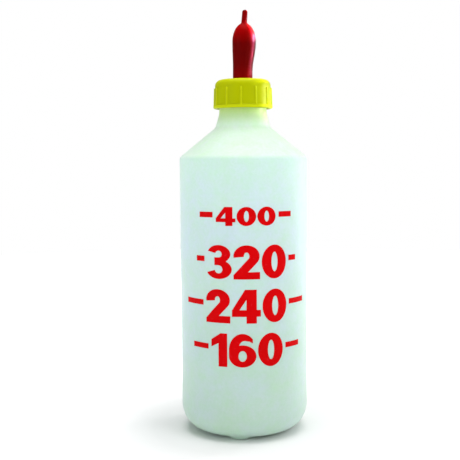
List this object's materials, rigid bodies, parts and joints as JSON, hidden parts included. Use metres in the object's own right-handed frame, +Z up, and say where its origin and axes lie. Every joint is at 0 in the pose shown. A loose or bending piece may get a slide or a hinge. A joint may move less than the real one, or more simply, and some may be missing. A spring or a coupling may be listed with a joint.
{
  "type": "lamb feeding bottle",
  "caption": "Lamb feeding bottle: round translucent bottle on moulded feet, ribbed screw cap, thin-tipped rubber teat and ball air valve in the base.",
  "frame": {"origin": "on the standing plane under the middle of the base", "axes": "+Z up along the bottle's axis to the teat's tip, -Y is the printed front"},
  "size_m": [0.069, 0.069, 0.2263],
  "materials": {
    "bottle_plastic": "satin",
    "cap_plastic": "gloss",
    "teat_rubber": "satin",
    "valve_plastic": "satin",
    "gasket_rubber": "matte",
    "ball_steel": "polished",
    "print_ink": "satin"
  },
  "bodies": {
    "bottle": {"bottle": "bottle_plastic", "valve_body": "valve_plastic", "valve_gasket": "gasket_rubber", "valve_cage": "valve_plastic"},
    "ball": {"valve_ball": "ball_steel"},
    "teat": {"teat": "teat_rubber"},
    "cap": {"screw_cap": "cap_plastic"}
  },
  "joints": [
    {"name": "cap_turn", "type": "hinge", "parent": "teat", "child": "cap", "pos_m": [0, 0, 0.1812], "axis": [0, 0, 1], "range_deg": [0, 1440]},
    {"name": "teat_lift", "type": "slide", "parent": "bottle", "child": "teat", "axis": [0, 0, 1], "range_m": [0, 0.016]},
    {"name": "ball_lift", "type": "slide", "parent": "bottle", "child": "ball", "axis": [0, 0, 1], "range_m": [0, 0.0022]}
  ],
  "couplings": [
    {"joint": "teat_lift", "follows": "cap_turn", "m_per_rad": 0.0006366}
  ]
}
